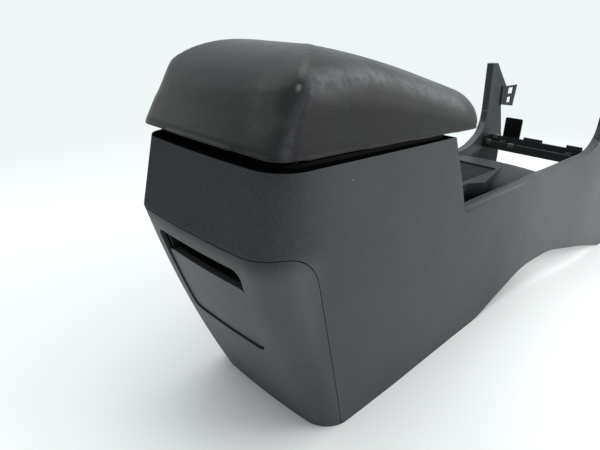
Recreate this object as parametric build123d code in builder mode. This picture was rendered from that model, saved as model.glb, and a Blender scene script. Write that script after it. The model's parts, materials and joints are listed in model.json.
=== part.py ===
from build123d import *
import os
from math import atan2, cos, degrees, radians, sin, sqrt

# Center console of a car, standing on a floor. Millimetres. X is across, Y forward, Z up.
# Stations along the console run forward from the rear edge of the box rim.

# Overall
total_length = 900.0
rear_reach = 19.0  # how far the rear stands out behind station zero
wall = 3.0
seam = 0.9  # between neighbouring mouldings
seat_gap = 0.2  # between a piece and the face it is fastened to
pin_play = 0.05  # radial, between a pin and what turns on it
flange = 13.0  # width of the rim that is turned inward

# Outer form at the skirt, a little below the floor: rear corners, then half widths
skirt_height = -20.0
skirt_rear = 91.7
skirt_rear_half = 93.8
skirt_waist_half = 91.2
skirt_flare_half = 105.5
skirt_horn_half = 115.5
skirt_front_half = 128.6
# The same at the knee, low on the sloping rear
knee_height = 110.0
knee_rear = 29.5
knee_rear_half = 98.5
knee_waist_half = 90.0
knee_flare_half = 96.0
knee_horn_half = 111.0
knee_front_half = 125.0
# The same at the bend across the rear
bend_height = 232.0
bend_rear = -14.0
bend_rear_half = 101.5
bend_waist_half = 88.5
bend_flare_half = 88.5
bend_horn_half = 111.5
bend_front_half = 122.0
# The same above the horns
crown_height = 345.0
crown_rear = 8.9
crown_rear_half = 99.0
crown_waist_half = 87.5
crown_flare_half = 88.0
crown_horn_half = 115.5
crown_front_half = 122.0
# Where the half widths are taken
waist_station = 480.0
flare_station = 645.0
horn_station = 737.0
front_margin = 20.0
rear_bulge = 5.0
corner_radius = 32.0
straight_side = 60.0

# Side outline: rim of the box, low rim and horn
rim_rear_height = 301.0
rim_front_height = 296.0
box_length = 255.0
box_foot = 306.7
low_rim_height = 195.0
low_rim_dip = 625.0
low_rim_dip_height = 192.5
horn_root = 741.0
horn_root_height = 211.0
horn_top = 738.0
horn_top_height = 337.0
horn_top_length = 28.0
horn_shoulder = 819.0
horn_shoulder_height = 292.0
horn_neck = 809.0
horn_neck_height = 251.0
horn_waist = 832.0
horn_waist_height = 194.0
horn_knee = 863.0
horn_knee_height = 145.0
rim_edge_radius = 3.0
foot_radius = 14.0
dip_radius = 400.0
sweep_radius = 46.0
# Side outline: lower edge, with its long arch between box and toes
toe_length = 26.0
arch_front = 753.0
arch_front_height = 26.0
arch_peak = 640.0
arch_peak_height = 46.0
arch_back = 545.0
arch_back_height = 42.0
arch_start = 410.0
arch_radius = 200.0
arch_start_radius = 120.0

# Openings in the shell
mouth_half = 82.0
mouth_start = 17.0
mouth_end = 238.0
mouth_radius = 16.0
tray_start = 312.0
return_bottom = 153.0
return_arch_start = 716.0
return_arch_height = 175.0
ledge_width = 3.0

# Rear panel and its opening
panel_top = 231.0
panel_corner = 37.5
panel_foot = 102.0
panel_line_radius = 50.0
opening_bottom = 112.5
opening_top = 213.0
opening_bottom_half = 58.0
opening_top_half = 64.0
opening_radius = 9.0
clip_wall = 2.0
panel_clip_width = 16.0
panel_clip_length = 22.0
panel_clip_half = 48.0
panel_clip_height = 150.0

# Tip-out bin in the rear panel
flap_recess = 2.0
flap_wall = 3.0
flap_side_gap = 2.0
flap_bottom = 115.5
flap_top = 190.0
flap_lip = 5.0
flap_shelf = 8.0
bin_pivot = 29.5
bin_pivot_height = 121.0
bucket_half = 54.0
bucket_wall = 2.2
bucket_radius = 68.0
bucket_back_foot = 6.0
bucket_back_head = 15.0
bin_boss_radius = 5.0
bin_boss_length = 6.0
bin_pin_radius = 2.45
housing_clearance = 4.0
flap_clearance = 0.8
housing_wall = 2.5
housing_floor = 108.0
housing_top = 216.0
housing_back = 49.0
housing_flange = 12.0
slot_rib_pitch = 12.0
slot_rib_count = 9
slot_rib_depth = 10.0

# Storage bin
lip_half = 93.0
lip_start = 10.0
lip_end = 249.0
lip_wall = 2.0
lip_bead_wall = 1.4
lip_bead_height = 2.0
lip_radius = 18.0
tub_half = 79.0
tub_start = 58.0
tub_end = 236.0
tub_depth = 165.0
tub_wall = 2.2
tub_radius = 14.0
floor_bolt_rear = 97.0
floor_bolt_spacing = 100.0
floor_bolt_radius = 3.5
mat_wall = 2.5
mat_gap = 1.0
mat_hole_radius = 9.0
bin_screw_inset = 32.0
shelf_pad_half = 48.0
shelf_pad_depth = 8.0

# Screws
screw_radius = 1.7
screw_head_radius = 3.4
screw_head = 1.6
screw_length = 8.0

# Lid
lid_rear_bottom = 308.8
lid_front_bottom = 300.3
lid_length = 284.0
lid_base_wall = 10.0
lid_base_radius = 18.0
lid_base_gap = 0.3
lid_base_half = 93.0
lid_base_rear = 3.0
lid_base_front = 281.0
# Lid pad: a level section low and one high, joined straight
pad_low = 290.0
pad_rear_low = -12.0
pad_half_low = 103.5
pad_high = 400.0
pad_rear_high = 41.0
pad_half_high = 91.0
pad_front = 309.5
pad_front_bulge = 6.0
pad_rear_bulge = 3.0
pad_corner_radius = 18.0
# Lid pad: height of the crown over the length, and its rounded shoulders
pad_crown_rear = 391.0
pad_crown_top = 386.5
pad_crown_top_station = 90.0
pad_crown_middle = 364.5
pad_crown_middle_station = 205.0
pad_crown_front = 330.0
pad_crown_front_station = 340.0
pad_shoulder_drop = 5.0
pad_shoulder_radius = 58.0
pad_margin = 1.5
# Lid pad: side outline with the roll at the rear and the blunt nose
pad_roll_radius = 84.0
pad_slope_radius = 70.0
pad_top = 386.5
pad_top_station = 90.0
pad_brow = 348.0
pad_brow_station = 304.0
pad_brow_radius = 12.0
pad_nose_height = 313.0
pad_nose_radius = 8.0
pad_foot_station = 293.0
pad_foot_height = 296.0
pad_foot_radius = 6.0

# Lid hinge
hinge_station = 4.5
hinge_height = 311.5
knuckle_radius = 3.0
hinge_pin_radius = 1.75
hinge_half = 45.0
hinge_inner_half = 25.5
hinge_side_gap = 0.5
hinge_sheet = 1.5
hinge_foot_end = 34.0
hinge_step = 12.0
hinge_step_end = 16.0
hinge_neck = 10.0
hinge_screw_station = 27.0
bracket_screw_offset = 36.0
leaf_screw_offset = 34.0
leaf_screw_length = 4.0
leaf_half = 44.0
leaf_end = 38.0
hinge_recess_half = 48.0
hinge_recess_end = 42.0
hinge_recess_start = 0.6

# Lid latch
latch_station = 245.0
latch_height = 307.6
latch_barrel_radius = 3.5
latch_pin_radius = 1.75
paddle_half = 32.0
paddle_end = 273.0
paddle_wall = 2.5
latch_recess_half = 34.0
latch_recess_start = 234.0
latch_recess_end = 275.0
latch_recess_top = 312.5
latch_block_wall = 3.5
hook_half = 8.0
hook_wall = 3.0
hook_drop = 21.0
barb_reach = 3.2
barb_height = 3.0
latch_pin_half = 37.0
barrel_end = 26.0
spring_wire = 0.35
spring_coil_radius = 2.6
spring_turns = 3.5
spring_pitch = 1.3
spring_left = 27.5
spring_leg = 9.0
striker_half = 22.0
striker_start = 235.2
striker_end = 254.0
striker_wall = 1.2
slot_half = 10.0
slot_start = 238.0
slot_end = 252.0
striker_screw_offset = 16.5
bumper_radius = 6.0
bumper_offset = 84.0
bumper_rear = 26.0
bumper_front = 222.0

# Deck between the box and the shifter opening
deck_top = 188.0
deck_wall = 3.0
deck_front = 607.0
deck_front_side = 592.0
deck_front_half = 80.0
border_width = 4.0
border_height = 2.5
tray_left = -62.0
tray_right = 17.0
tray_end = 562.0
tray_depth = 5.0
tray_radius = 7.0
tray_mat_wall = 2.0
well_left = 26.0
well_right = 65.5
well_floor = 118.0
well_end = 432.0
ramp_foot = 447.0
ramp_foot_height = 142.0
ramp_middle = 515.0
ramp_middle_height = 176.0
ramp_foot_radius = 22.0
ramp_middle_radius = 90.0
ramp_end = 586.0
ridge_foot = 40.0
ridge_foot_station = 472.0
ridge_head = 14.0
ridge_head_station = 588.0
tray_border = 6.0
tray_floor_wall = 3.0
well_wall = 2.5

# Crossbar between the horns
bar_rear = 735.0
bar_depth = 30.0
bar_bottom = 178.0
bar_height = 22.0
bar_wall = 3.0
bar_rear_height = 15.0
bar_end_half = 94.0
bar_rib_wall = 1.8
bar_rib_pitch = 16.0
bar_rib_count = 7
bar_rib_height = 12.0
bar_boss_offset = 62.0
bar_boss_radius = 6.5
bar_boss_height = 16.0
bar_hole_radius = 2.2
bar_tab_wall = 1.6
bar_tab_height = 5.0
bar_tab_left = -29.0
bar_tab_length = 36.0
bar_tab_right = 51.0
bar_tab_short = 28.0
bar_screw_height = 189.0
plate_left = -71.5
plate_right = -38.0
plate_bottom = 191.0
plate_top = 237.5
plate_wall = 2.5
plate_radius = 3.0
clip_sheet = 1.0
clip_width = 10.0
clip_leg = 7.0
clip_play = 0.1
clip_left = -86.0
clip_middle = -40.0
clip_front = -84.0

# Clip brackets on the horns
bracket_wall = 2.5
bracket_root = 799.0
bracket_root_bottom = 255.0
bracket_tip = 867.0
bracket_tip_bottom = 860.0
bracket_top = 290.5
bracket_bottom = 247.0
bracket_hole_station = 827.0
bracket_hole_length = 24.0
bracket_hole_bottom = 274.0
bracket_hole_height = 12.5
bracket_slot_length = 19.0
bracket_slot_bottom = 256.0
bracket_slot_height = 11.5

os.makedirs("parts", exist_ok=True)

rim_zero = rear_reach - total_length / 2
toe_station = total_length - rear_reach
front_station = toe_station + front_margin
reach = 200.0
rim_slope = (rim_rear_height - rim_front_height) / box_length
lid_slope = (lid_rear_bottom - lid_front_bottom) / lid_length

side_plane = Plane(origin=(-reach, rim_zero, 0), x_dir=(0, 1, 0), z_dir=(1, 0, 0))
rear_plane = Plane(origin=(0, rim_zero + reach, 0), x_dir=(1, 0, 0), z_dir=(0, -1, 0))


def plan_plane(height):
    """The level plane at a height, with stations as its second coordinate."""
    return Plane(origin=(0, rim_zero, height), x_dir=(1, 0, 0), z_dir=(0, 0, 1))


def sloping_plane(height, slope):
    """A plane that falls forward from a height at station zero."""
    return Plane(origin=(0, rim_zero, height), x_dir=(1, 0, 0), z_dir=(0, slope, 1))


def across(left):
    """The side plane moved to where x is left."""
    return Plane(origin=(left, rim_zero, 0), x_dir=(0, 1, 0), z_dir=(1, 0, 0))


def hull_section(height, rear, rear_half, waist_half, flare_half, horn_half, front_half, inset):
    """One level section of the console's outer form, drawn in by inset."""
    start = rear + inset
    side = rear_half - inset
    with BuildSketch(plan_plane(height)) as section:
        with BuildLine():
            Line((side, start), (side, start + straight_side))
            Spline(
                (side, start + straight_side),
                (waist_half - inset, waist_station),
                (flare_half - inset, flare_station),
                (horn_half - inset, horn_station),
                (front_half - inset, front_station),
                tangents=[(0, 1), (0.12, 1)],
            )
            Line((front_half - inset, front_station), (0, front_station))
            mirror(about=Plane.YZ)
            ThreePointArc((-side, start), (0, start - rear_bulge), (side, start))
        make_face()
        corners = [v for v in section.vertices() if abs(v.Y - start) < 0.001]
        fillet(corners, corner_radius - inset)
    return section.sketch


def hull(inset):
    """The console's outer form as a solid, drawn in by inset all round."""
    skirt = hull_section(
        skirt_height,
        skirt_rear,
        skirt_rear_half,
        skirt_waist_half,
        skirt_flare_half,
        skirt_horn_half,
        skirt_front_half,
        inset,
    )
    knee = hull_section(
        knee_height,
        knee_rear,
        knee_rear_half,
        knee_waist_half,
        knee_flare_half,
        knee_horn_half,
        knee_front_half,
        inset,
    )
    bend = hull_section(
        bend_height,
        bend_rear,
        bend_rear_half,
        bend_waist_half,
        bend_flare_half,
        bend_horn_half,
        bend_front_half,
        inset,
    )
    crown = hull_section(
        crown_height,
        crown_rear,
        crown_rear_half,
        crown_waist_half,
        crown_flare_half,
        crown_horn_half,
        crown_front_half,
        inset,
    )
    with BuildPart() as form:
        loft(sections=[skirt, knee, bend])
        loft(sections=[bend, crown], ruled=True)
    return form.part


def sketch_part(sketch, amount):
    """A sketch extruded by itself."""
    with BuildPart() as piece:
        extrude(sketch, amount=amount)
    return piece.part


def common(first, second):
    """What two solids share."""
    with BuildPart() as piece:
        add(first)
        add(second, mode=Mode.INTERSECT)
    return piece.part


def box_between(low, high):
    """A box from its low corner to its high corner, each (x, station, height)."""
    size = [b - a for a, b in zip(low, high)]
    middle = [(a + b) / 2 for a, b in zip(low, high)]
    return Pos(middle[0], middle[1] + rim_zero, middle[2]) * Box(*size, mode=Mode.PRIVATE)


def rod(radius, left, right, station, height):
    """A rod along X."""
    with BuildPart() as piece:
        with BuildSketch(across(left)):
            with Locations((station, height)):
                Circle(radius)
        extrude(amount=right - left)
    return piece.part


def screw(seat, length):
    """A pan head screw whose head stands on the plane seat and whose shank goes behind it."""
    with BuildPart() as piece:
        with BuildSketch(seat):
            Circle(screw_head_radius)
        extrude(amount=screw_head)
        fillet(piece.edges().sort_by(Axis(seat.origin, seat.z_dir))[-1], screw_head * 0.6)
        with BuildSketch(seat):
            Circle(screw_radius)
        extrude(amount=-length)
        with BuildSketch(seat.offset(screw_head)):
            Rectangle(screw_head_radius, 0.7)
            Rectangle(0.7, screw_head_radius)
        extrude(amount=-screw_head / 2, mode=Mode.SUBTRACT)
    return piece.part


def screw_holes(seats, length):
    """The holes that take the shanks of screws on the given seats."""
    with BuildPart() as piece:
        for seat in seats:
            with BuildSketch(seat):
                Circle(screw_radius + pin_play)
            extrude(amount=-length)
    return piece.part


# Side outline of the whole console
with BuildSketch(side_plane) as outline:
    with BuildLine():
        FilletPolyline(
            (-3 * rear_reach, rim_rear_height),
            (box_length, rim_front_height),
            (box_foot, low_rim_height),
            (low_rim_dip, low_rim_dip_height),
            (horn_root, horn_root_height),
            (horn_top, horn_top_height),
            radius=[rim_edge_radius, foot_radius, dip_radius, sweep_radius],
        )
        Polyline(
            (horn_top, horn_top_height),
            (horn_top + horn_top_length, horn_top_height),
            (horn_shoulder, horn_shoulder_height),
            (horn_neck, horn_neck_height),
            (horn_waist, horn_waist_height),
            (horn_knee, horn_knee_height),
            (toe_station, 0),
            (toe_station - toe_length, 0),
        )
        FilletPolyline(
            (toe_station - toe_length, 0),
            (arch_front, arch_front_height),
            (arch_peak, arch_peak_height),
            (arch_back, arch_back_height),
            (arch_start, 0),
            (-3 * rear_reach, 0),
            radius=[arch_radius, arch_radius, arch_radius, arch_start_radius],
        )
        Line((-3 * rear_reach, 0), (-3 * rear_reach, rim_rear_height))
    make_face()

# The hollow keeps one wall under the outline and is open below and at the front
with BuildSketch(side_plane) as inner_outline:
    add(outline.sketch_local)
    offset(amount=-wall, kind=Kind.INTERSECTION, mode=Mode.REPLACE)
with BuildSketch(side_plane) as hollow_outline:
    add(inner_outline.sketch_local)
    with Locations((0, -10 * wall)):
        add(inner_outline.sketch_local)
    with BuildLine():
        Polyline(
            (horn_neck - 3 * wall, horn_shoulder_height - 3 * wall),
            (toe_station, horn_shoulder_height - 3 * wall),
            (front_station + front_margin, -front_margin),
            (horn_root, -front_margin),
            (horn_root, horn_knee_height),
            (horn_neck - 3 * wall, horn_waist_height),
            close=True,
        )
    make_face()

outer_hull = hull(0)
inner_hull = hull(wall)
rim_hull = hull(flange)
rim_inner_hull = hull(flange - wall)
seat_hull = hull(wall + seat_gap)
lining_hull = hull(wall + seat_gap + clip_wall)

outer_body = common(outer_hull, sketch_part(outline.sketch, 2 * reach))
hollow = common(inner_hull, sketch_part(hollow_outline.sketch, 2 * reach))


def panel_region(grow):
    """Everything behind and below the parting line of the rear panel."""
    lean = (panel_foot - panel_corner) / panel_top
    low = 2 * skirt_height
    with BuildSketch(side_plane) as region:
        with BuildLine():
            FilletPolyline(
                (-3 * rear_reach, panel_top),
                (panel_corner, panel_top),
                (panel_foot - lean * low, low),
                radius=[panel_line_radius],
            )
            Polyline(
                (panel_foot - lean * low, low), (-3 * rear_reach, low), (-3 * rear_reach, panel_top)
            )
        make_face()
        if grow:
            offset(amount=grow, mode=Mode.REPLACE)
    return sketch_part(region.sketch, 2 * reach)


with BuildPart() as skin:
    add(outer_body)
    add(hollow, mode=Mode.SUBTRACT)

# Wide opening between the low rims, from the box to the front
with BuildSketch(side_plane) as deck_opening:
    with BuildLine():
        Polyline(
            (tray_start, return_bottom),
            (tray_start, bend_height + 10 * wall),
            (tray_start + 2 * rear_reach, crown_height),
            (front_station, crown_height),
            (front_station, return_bottom),
            close=True,
        )
    make_face()
# Inner wall that hangs from the inner edge of the low rim, arched up beside the shifter
with BuildSketch(side_plane) as return_outline:
    with BuildLine():
        FilletPolyline(
            (tray_start, bend_height + 10 * wall),
            (tray_start, return_bottom),
            (return_arch_start, return_bottom),
            (return_arch_start + foot_radius, return_arch_height),
            (front_station, return_arch_height),
            radius=[1.0, 12.0, 16.0],
        )
        Polyline(
            (front_station, return_arch_height),
            (front_station, crown_height),
            (tray_start + 2 * rear_reach, crown_height),
            (tray_start, bend_height + 10 * wall),
        )
    make_face()
    add(outline.sketch_local, mode=Mode.INTERSECT)

lip_plane = sloping_plane(rim_rear_height + seat_gap, rim_slope)
lip_top = rim_rear_height + seat_gap + lip_wall * sqrt(1 + rim_slope**2)
lid_plane = sloping_plane(lid_rear_bottom, lid_slope)


def lip_seat(x, station):
    """Where a screw head sits on the lip of the storage bin."""
    return Plane(
        origin=(x, rim_zero + station, lip_top - rim_slope * station),
        x_dir=(1, 0, 0),
        z_dir=(0, rim_slope, 1),
    )


bin_screw_x = (mouth_half + lip_half) / 2
bin_screw_seats = [
    lip_seat(x, station)
    for x in (-bin_screw_x, bin_screw_x)
    for station in (mouth_start + bin_screw_inset, mouth_end - bin_screw_inset)
]
striker_seats = [
    lip_seat(x, (slot_start + slot_end) / 2).offset(striker_wall)
    for x in (-striker_screw_offset, striker_screw_offset)
]
bracket_seats = [
    lip_seat(x, hinge_screw_station).offset(hinge_sheet)
    for x in (-bracket_screw_offset, bracket_screw_offset)
]
bar_middle = bar_rear + bar_depth / 2
bar_seats = [
    Plane(
        origin=(side * bar_end_half, rim_zero + bar_middle, bar_screw_height),
        x_dir=(0, 1, 0),
        z_dir=(-side, 0, 0),
    )
    for side in (-1, 1)
]
latch_notch = box_between(
    (-slot_half - 1, mouth_end - 2, rim_front_height - 10),
    (slot_half + 1, slot_end, rim_rear_height + 10),
)

# The deck rests on a narrow ledge along the foot of each return wall
ledge_hull = hull(flange + ledge_width)
ledge_top = deck_top - deck_wall - seat_gap
with BuildPart() as return_wall:
    add(rim_inner_hull)
    extrude(return_outline.sketch, amount=2 * reach, mode=Mode.INTERSECT)
    add(rim_hull, mode=Mode.SUBTRACT)
with BuildPart() as ledge:
    add(rim_hull)
    add(
        box_between(
            (-reach, tray_start + wall, ledge_top - wall), (reach, deck_front_side - ledge_width, ledge_top)
        ),
        mode=Mode.INTERSECT,
    )
    add(ledge_hull, mode=Mode.SUBTRACT)

# Return at the foot of the box, which the deck butts against
with BuildPart() as foot_wall:
    add(rim_inner_hull)
    add(
        box_between(
            (-reach, tray_start - wall, return_bottom), (reach, tray_start, low_rim_height - wall / 2)
        ),
        mode=Mode.INTERSECT,
    )

# Console shell: one moulding with both sides, the box rim, the low rim and the horns
with BuildPart() as console_shell:
    add(skin.part)
    add(panel_region(seam), mode=Mode.SUBTRACT)
    add(common(rim_hull, sketch_part(deck_opening.sketch, 2 * reach)), mode=Mode.SUBTRACT)
    with BuildSketch(plan_plane(bend_height)):
        with Locations((0, (mouth_start + mouth_end) / 2)):
            RectangleRounded(2 * mouth_half, mouth_end - mouth_start, mouth_radius)
    extrude(amount=crown_height - bend_height, mode=Mode.SUBTRACT)
    add(return_wall.part)
    add(ledge.part)
    add(foot_wall.part)
    add(latch_notch, mode=Mode.SUBTRACT)
    add(screw_holes(bin_screw_seats + striker_seats + bar_seats, screw_length + 1), mode=Mode.SUBTRACT)
console_shell.part.label = "console_shell"
export_step(console_shell.part, "parts/console_shell.step")


def trapezoid(bottom, top, side_gap):
    """The opening of the rear panel between two heights, narrowed by side_gap each side."""
    lean = (opening_top_half - opening_bottom_half) / (opening_top - opening_bottom)
    bottom_half = opening_bottom_half + lean * (bottom - opening_bottom) - side_gap
    top_half = opening_bottom_half + lean * (top - opening_bottom) - side_gap
    with BuildSketch(rear_plane) as shape:
        with BuildLine():
            Polyline(
                (-bottom_half, bottom), (bottom_half, bottom), (top_half, top), (-top_half, top), close=True
            )
        make_face()
        fillet(shape.vertices(), opening_radius - side_gap)
    return shape.sketch


rear_opening = sketch_part(trapezoid(opening_bottom, opening_top, 0), 2 * reach)

# Rear panel: the lower rear cover, which wraps round both corners
with BuildPart() as rear_panel:
    add(skin.part)
    add(panel_region(0), mode=Mode.INTERSECT)
    add(rear_opening, mode=Mode.SUBTRACT)
rear_panel.part.label = "rear_panel"
export_step(rear_panel.part, "parts/rear_panel.step")

# Spring clips that hold the rear panel to the shell from inside, across the parting line
clip_side_station = panel_foot - (panel_foot - panel_corner) * panel_clip_height / panel_top
with BuildPart() as lining:
    add(seat_hull)
    add(
        box_between((-reach, -2 * rear_reach, 0), (reach, panel_foot + panel_clip_length, rim_rear_height)),
        mode=Mode.INTERSECT,
    )
    add(lining_hull, mode=Mode.SUBTRACT)
with BuildPart() as panel_clips:
    add(lining.part)
    clip_zones = Part() + [
        box_between(
            (x - panel_clip_width / 2, -2 * rear_reach, panel_top - panel_clip_length / 2),
            (x + panel_clip_width / 2, bin_pivot, panel_top + panel_clip_length / 2),
        )
        for x in (-panel_clip_half, panel_clip_half)
    ]
    side_zones = Part() + [
        box_between(
            (
                min(side * bucket_half, side * reach),
                clip_side_station - panel_clip_length / 2,
                height - panel_clip_width / 2,
            ),
            (
                max(side * bucket_half, side * reach),
                clip_side_station + panel_clip_length / 2,
                height + panel_clip_width / 2,
            ),
        )
        for side in (-1, 1)
        for height in (panel_clip_height,)
    ]
    add(clip_zones + side_zones, mode=Mode.INTERSECT)
panel_clips.part.label = "panel_clips"
export_step(panel_clips.part, "parts/panel_clips.step")

# Tip-out bin: a flap in the opening with a wedge-shaped bucket behind it
flap_hull = hull(flap_recess)
flap_inner_hull = hull(flap_recess + flap_wall)
bucket_base = flap_bottom


def bucket_section(inset, radius):
    """The side view of the bucket, narrowed by inset and cut to a radius about the pivot."""
    with BuildSketch(side_plane) as section:
        with BuildLine():
            Polyline(
                (-2 * rear_reach, bucket_base + inset),
                (bin_pivot + bucket_back_foot - inset, bucket_base + inset),
                (bin_pivot + bucket_back_head - inset, bin_pivot_height + bucket_radius),
                (-2 * rear_reach, bin_pivot_height + bucket_radius),
                close=True,
            )
        make_face()
        with Locations((bin_pivot, bin_pivot_height)):
            Circle(radius, mode=Mode.INTERSECT)
    return section.sketch


with BuildPart() as flap:
    add(flap_hull)
    extrude(trapezoid(flap_bottom, flap_top, flap_side_gap), amount=2 * reach, mode=Mode.INTERSECT)
with BuildPart() as shelf:
    add(flap_hull)
    add(
        box_between(
            (-bucket_half, -2 * rear_reach, flap_top - flap_wall), (bucket_half, housing_back, flap_top)
        ),
        mode=Mode.INTERSECT,
    )
    add(hull(flap_recess + flap_shelf), mode=Mode.SUBTRACT)
with BuildPart() as bucket_space:
    extrude(bucket_section(bucket_wall, bucket_radius + 2 * flap_lip), amount=2 * reach)
    add(
        box_between(
            (-bucket_half + bucket_wall, -reach, 0), (bucket_half - bucket_wall, reach, crown_height)
        ),
        mode=Mode.INTERSECT,
    )
with BuildPart() as bucket:
    extrude(bucket_section(0, bucket_radius), amount=2 * reach)
    add(box_between((-bucket_half, -reach, 0), (bucket_half, reach, crown_height)), mode=Mode.INTERSECT)
    add(flap_inner_hull, mode=Mode.INTERSECT)
    add(bucket_space.part, mode=Mode.SUBTRACT)
with BuildPart() as rear_bin:
    add(flap.part)
    add(flap_inner_hull, mode=Mode.SUBTRACT)
    add(bucket.part)
    add(shelf.part)
    for side in (-1, 1):
        ends = sorted((side * (bucket_half - bin_boss_length), side * bucket_half))
        add(common(rod(bin_boss_radius, ends[0], ends[1], bin_pivot, bin_pivot_height), flap_hull))
    for side in (-1, 1):
        ends = sorted((side * (bucket_half - bin_boss_length + 1), side * (bucket_half + 1)))
        add(
            rod(bin_pin_radius + pin_play, ends[0], ends[1], bin_pivot, bin_pivot_height),
            mode=Mode.SUBTRACT,
        )
rear_bin.part.label = "rear_bin"
export_step(rear_bin.part, "parts/rear_bin.step")

# Housing that the bin turns in, with ribs above the finger slot
housing_half = bucket_half + housing_clearance
with BuildPart() as housing_frame:
    extrude(
        trapezoid(opening_bottom - housing_flange, opening_top + housing_flange / 2, -housing_flange / 2),
        amount=2 * reach,
    )
    add(lining.part, mode=Mode.INTERSECT)
    add(rear_opening, mode=Mode.SUBTRACT)
housing_rear = -2 * rear_reach
with BuildPart() as housing_box:
    add(
        box_between(
            (-housing_half - housing_wall, housing_rear, housing_floor - housing_wall),
            (housing_half + housing_wall, housing_back + housing_wall, housing_top + housing_wall),
        )
    )
    add(
        box_between((-housing_half, -reach, housing_floor), (housing_half, housing_back, housing_top)),
        mode=Mode.SUBTRACT,
    )
    for index in range(slot_rib_count):
        x = (index - (slot_rib_count - 1) / 2) * slot_rib_pitch
        add(
            box_between(
                (x - housing_wall / 4, housing_rear, housing_top - slot_rib_depth),
                (x + housing_wall / 4, housing_back, housing_top),
            )
        )
with BuildPart() as housing_tail:
    add(seat_hull)
    add(
        box_between((-reach, housing_rear, 0), (reach, housing_back + 2 * housing_wall, rim_rear_height)),
        mode=Mode.INTERSECT,
    )
with BuildPart() as flap_space:
    add(rear_opening)
    add(hull(flap_recess + flap_wall + flap_clearance), mode=Mode.SUBTRACT)
with BuildPart() as bin_housing:
    add(housing_box.part)
    add(housing_tail.part, mode=Mode.INTERSECT)
    add(flap_space.part, mode=Mode.SUBTRACT)
    add(housing_frame.part)
    for side in (-1, 1):
        ends = sorted((side * (housing_half - 1), side * (housing_half + housing_wall + 1)))
        add(
            rod(bin_pin_radius + pin_play, ends[0], ends[1], bin_pivot, bin_pivot_height),
            mode=Mode.SUBTRACT,
        )
bin_housing.part.label = "bin_housing"
export_step(bin_housing.part, "parts/bin_housing.step")

# The two pins that the bin turns on
pin_inner = bucket_half - bin_boss_length + 1.5
pin_outer = housing_half + housing_wall
with BuildPart() as bin_pins:
    add(rod(bin_pin_radius, pin_inner, pin_outer, bin_pivot, bin_pivot_height))
    add(rod(bin_pin_radius, -pin_outer, -pin_inner, bin_pivot, bin_pivot_height))
bin_pins.part.label = "bin_pins"
export_step(bin_pins.part, "parts/bin_pins.step")

# Storage bin: a tub hung by its lip on the rim of the shell, with a shelf for the hinge
tub_middle = (tub_start + tub_end) / 2
with BuildPart() as storage_bin:
    with BuildSketch(lip_plane):
        with Locations((0, (lip_start + lip_end) / 2)):
            RectangleRounded(2 * lip_half, lip_end - lip_start, lip_radius)
    extrude(amount=lip_wall + lip_bead_height)
    with BuildSketch(lip_plane.offset(lip_wall)):
        with Locations((0, (lip_start + lip_end) / 2)):
            RectangleRounded(
                2 * (lip_half - lip_bead_wall),
                lip_end - lip_start - 2 * lip_bead_wall,
                lip_radius - lip_bead_wall,
            )
        with Locations((0, lip_end)):
            Rectangle(2 * (striker_half + 1), 2 * (lip_end - striker_start))
    extrude(amount=lip_wall + lip_bead_height, mode=Mode.SUBTRACT)
    with BuildSketch(lip_plane):
        with Locations((0, tub_middle)):
            RectangleRounded(2 * tub_half, tub_end - tub_start, tub_radius)
    extrude(amount=-tub_depth)
    with BuildSketch(lip_plane.offset(lip_wall)):
        with Locations((0, tub_middle)):
            RectangleRounded(
                2 * (tub_half - tub_wall), tub_end - tub_start - 2 * tub_wall, tub_radius - tub_wall
            )
    extrude(amount=-(tub_depth + lip_wall - tub_wall), mode=Mode.SUBTRACT)
    with BuildSketch(lip_plane):
        with Locations((0, (mouth_start + 1 + tub_start) / 2)):
            Rectangle(2 * shelf_pad_half, tub_start - mouth_start - 1)
    extrude(amount=-shelf_pad_depth)
    with BuildSketch(plan_plane(rim_front_height)):
        with Locations((0, floor_bolt_rear), (0, floor_bolt_rear + floor_bolt_spacing)):
            Circle(floor_bolt_radius)
    extrude(amount=-2 * tub_depth, mode=Mode.SUBTRACT)
    add(latch_notch, mode=Mode.SUBTRACT)
    add(
        screw_holes(bin_screw_seats + striker_seats + bracket_seats, screw_length + 1), mode=Mode.SUBTRACT
    )
storage_bin.part.label = "storage_bin"
export_step(storage_bin.part, "parts/storage_bin.step")

# Mat on the floor of the storage bin, cut out round the fixing bolts
with BuildPart() as bin_mat:
    with BuildSketch(lip_plane.offset(tub_wall - tub_depth)):
        with Locations((0, tub_middle)):
            RectangleRounded(
                2 * (tub_half - tub_wall - mat_gap),
                tub_end - tub_start - 2 * (tub_wall + mat_gap),
                tub_radius - tub_wall - mat_gap,
            )
    extrude(amount=mat_wall)
    with BuildSketch(plan_plane(rim_front_height)):
        with Locations((0, floor_bolt_rear), (0, floor_bolt_rear + floor_bolt_spacing)):
            Circle(mat_hole_radius)
    extrude(amount=-2 * tub_depth, mode=Mode.SUBTRACT)
bin_mat.part.label = "bin_mat"
export_step(bin_mat.part, "parts/bin_mat.step")

# Screws that hold the lip of the storage bin to the rim of the shell
with BuildPart() as bin_screws:
    for seat in bin_screw_seats:
        add(screw(seat, screw_length))
bin_screws.part.label = "bin_screws"
export_step(bin_screws.part, "parts/bin_screws.step")


def pad_section(height, rear, half):
    """A level section of the lid pad."""
    with BuildSketch(plan_plane(height)) as section:
        with BuildLine():
            Line((half, rear), (half, pad_front - pad_front_bulge))
            mirror(about=Plane.YZ)
            ThreePointArc((-half, rear), (0, rear - pad_rear_bulge), (half, rear))
            ThreePointArc(
                (half, pad_front - pad_front_bulge), (0, pad_front), (-half, pad_front - pad_front_bulge)
            )
        make_face()
        fillet(section.vertices(), pad_corner_radius)
    return section.sketch


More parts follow.
